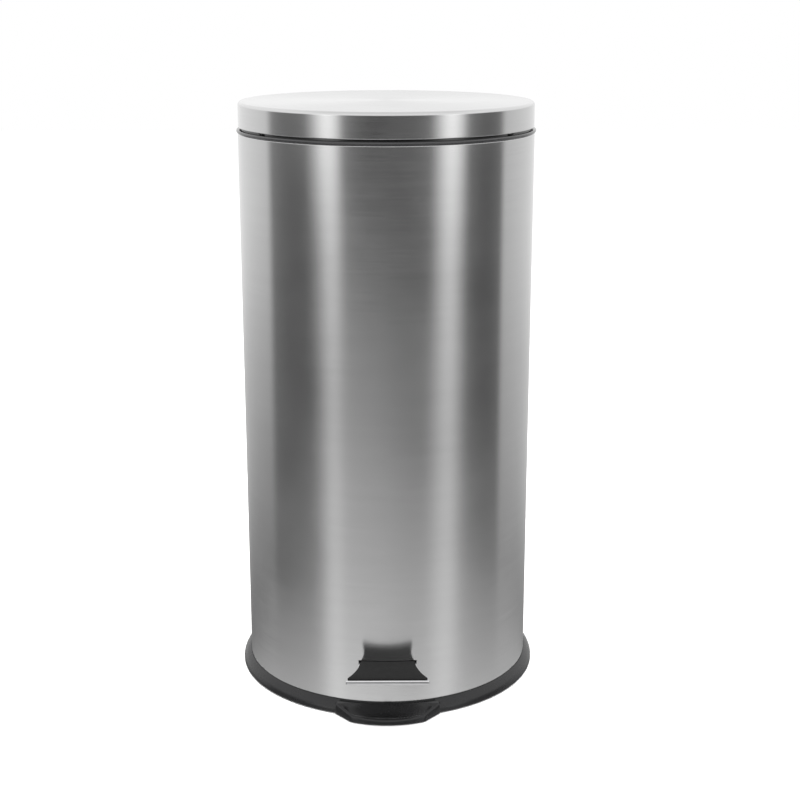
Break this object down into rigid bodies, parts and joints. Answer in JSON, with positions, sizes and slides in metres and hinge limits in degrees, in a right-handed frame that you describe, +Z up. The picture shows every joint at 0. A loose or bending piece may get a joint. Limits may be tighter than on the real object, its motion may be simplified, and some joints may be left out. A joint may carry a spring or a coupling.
{
  "type": "pedal trash can",
  "caption": "Round steel pedal trash can with flat hinged lid, foot pedal, push rod linkage, flared plastic base and lift-out bucket.",
  "frame": {"origin": "centre of the can's footprint on the floor", "axes": "+Z up, -Y front where the pedal is, +X to the right seen from the front"},
  "size_m": [0.308, 0.365, 0.5885],
  "materials": {
    "brushed_shell": "brushed around the can, satin",
    "brushed_lid": "brushed, satin",
    "collar_plastic": "glossy black",
    "black_plastic": "satin black",
    "inner_plastic": "fine-grained black",
    "bucket_plastic": "fine-grained dark grey",
    "pad_rubber": "satin black",
    "rubber": "matt black",
    "plain_steel": "zinc-plated sheet",
    "bright_steel": "bright",
    "fastener_steel": "plated",
    "nylon": "natural nylon"
  },
  "bodies": {
    "root": {"body_shell": "brushed_shell", "rim_collar": "collar_plastic", "lid_bumpers": "rubber", "hinge_pin": "fastener_steel", "hinge_housing": "black_plastic", "housing_screws": "fastener_steel", "rod_guides": "nylon", "guide_rivets": "fastener_steel", "axle_bracket_right": "plain_steel", "axle_bracket_left": "plain_steel", "pedal_axle": "fastener_steel", "axle_spacers": "nylon", "axle_clips": "fastener_steel", "bracket_screws": "fastener_steel", "base": "black_plastic", "base_feet": "rubber", "base_screws": "fastener_steel", "inner_bucket": "bucket_plastic"},
    "lid": {"lid_shell": "brushed_lid", "lid_liner": "inner_plastic", "lid_hinge_plate": "plain_steel", "hinge_plate_screws": "fastener_steel", "crank_pin": "fastener_steel"},
    "pedal": {"pedal_lever": "plain_steel", "pedal_plate": "bright_steel", "pedal_pad": "pad_rubber", "pedal_rivets": "fastener_steel"},
    "rod": {"push_rod": "plain_steel", "rod_clevis_pin": "fastener_steel"},
    "bail": {"bucket_bail": "bright_steel", "bail_grip": "inner_plastic"}
  },
  "joints": [
    {"name": "lid_hinge", "type": "hinge", "parent": "root", "child": "lid", "pos_m": [0, 0.16, 0.566], "axis": [-1, 0, 0], "range_deg": [0, 78]},
    {"name": "pedal_pivot", "type": "hinge", "parent": "root", "child": "pedal", "pos_m": [0, -0.07, 0.043], "axis": [1, 0, 0], "range_deg": [0, 11.42]},
    {"name": "push_rod_lift", "type": "slide", "parent": "root", "child": "rod", "axis": [0, 0, 1], "range_m": [0, 0.0403]},
    {"name": "bail_swing", "type": "hinge", "parent": "root", "child": "bail", "pos_m": [0, 0, 0.5613], "axis": [-1, 0, 0], "range_deg": [0, 7.5]}
  ],
  "couplings": [
    {"joint": "pedal_pivot", "follows": "lid_hinge", "ratio": 0.14629},
    {"joint": "push_rod_lift", "follows": "lid_hinge", "m_per_rad": 0.029586}
  ]
}
